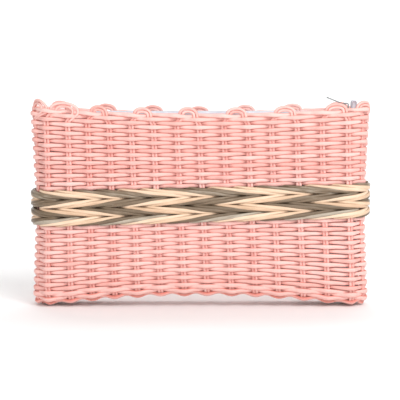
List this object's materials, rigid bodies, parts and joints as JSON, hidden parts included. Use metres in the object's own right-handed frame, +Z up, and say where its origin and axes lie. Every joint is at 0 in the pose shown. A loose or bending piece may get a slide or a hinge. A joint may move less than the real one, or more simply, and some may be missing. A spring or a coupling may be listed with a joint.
{
  "type": "woven zip pouch",
  "caption": "Flat woven plastic-cord clutch with a chevron band, looped rim, cloth lining and a zip across the top.",
  "frame": {"origin": "centre of the footprint on the ground, under the middle of the pouch", "axes": "+X along the zip toward its closed end, +Y from the front panel to the back panel, +Z up"},
  "size_m": [0.2838, 0.048, 0.1733],
  "materials": {
    "pink_cord": "satin extruded plastic cord",
    "band_cord": "satin plastic cord, taupe and cream strands",
    "lining_cotton": "plain white cotton",
    "zip_tape_cloth": "white woven zip tape",
    "thread": "white sewing thread",
    "nylon": "white nylon coil",
    "nickel": "nickel-plated zinc"
  },
  "bodies": {
    "pouch": {"back_lining": "lining_cotton", "back_rim_loop_1": "pink_cord", "back_rim_loop_2": "pink_cord", "back_rim_loop_3": "pink_cord", "back_rim_loop_4": "pink_cord", "back_rim_loop_5": "pink_cord", "back_rim_loop_6": "pink_cord", "back_rim_loop_7": "pink_cord", "back_tape_stitches": "thread", "back_top_stop": "nickel", "back_zip_coil": "nylon", "back_zip_tape": "zip_tape_cloth", "base_weave": "pink_cord", "bottom_stop": "nickel", "front_lining": "lining_cotton", "front_rim_loop_1": "pink_cord", "front_rim_loop_2": "pink_cord", "front_rim_loop_3": "pink_cord", "front_rim_loop_4": "pink_cord", "front_rim_loop_5": "pink_cord", "front_rim_loop_6": "pink_cord", "front_rim_loop_7": "pink_cord", "front_tape_stitches": "thread", "front_top_stop": "nickel", "front_zip_coil": "nylon", "front_zip_tape": "zip_tape_cloth", "left_end_tab": "zip_tape_cloth", "left_rim_loop": "pink_cord", "lower_weave": "pink_cord", "right_end_tab": "zip_tape_cloth", "right_rim_loop": "pink_cord", "upper_weave": "pink_cord", "wale_row_1": "band_cord", "wale_row_2": "band_cord", "wale_row_3": "band_cord", "wale_row_4": "band_cord"},
    "slider": {"slider_body": "nickel", "slider_bridge": "nickel"},
    "tab": {"pull_tab": "nickel"}
  },
  "joints": [
    {"name": "slider_slide", "type": "slide", "parent": "pouch", "child": "slider", "axis": [-1, 0, 0], "range_m": [0, 0.2315]},
    {"name": "pull_tab_swivel", "type": "hinge", "parent": "slider", "child": "tab", "pos_m": [0.1195, 0, 0.1667], "axis": [0, 1, 0], "range_deg": [-26, 94]}
  ]
}
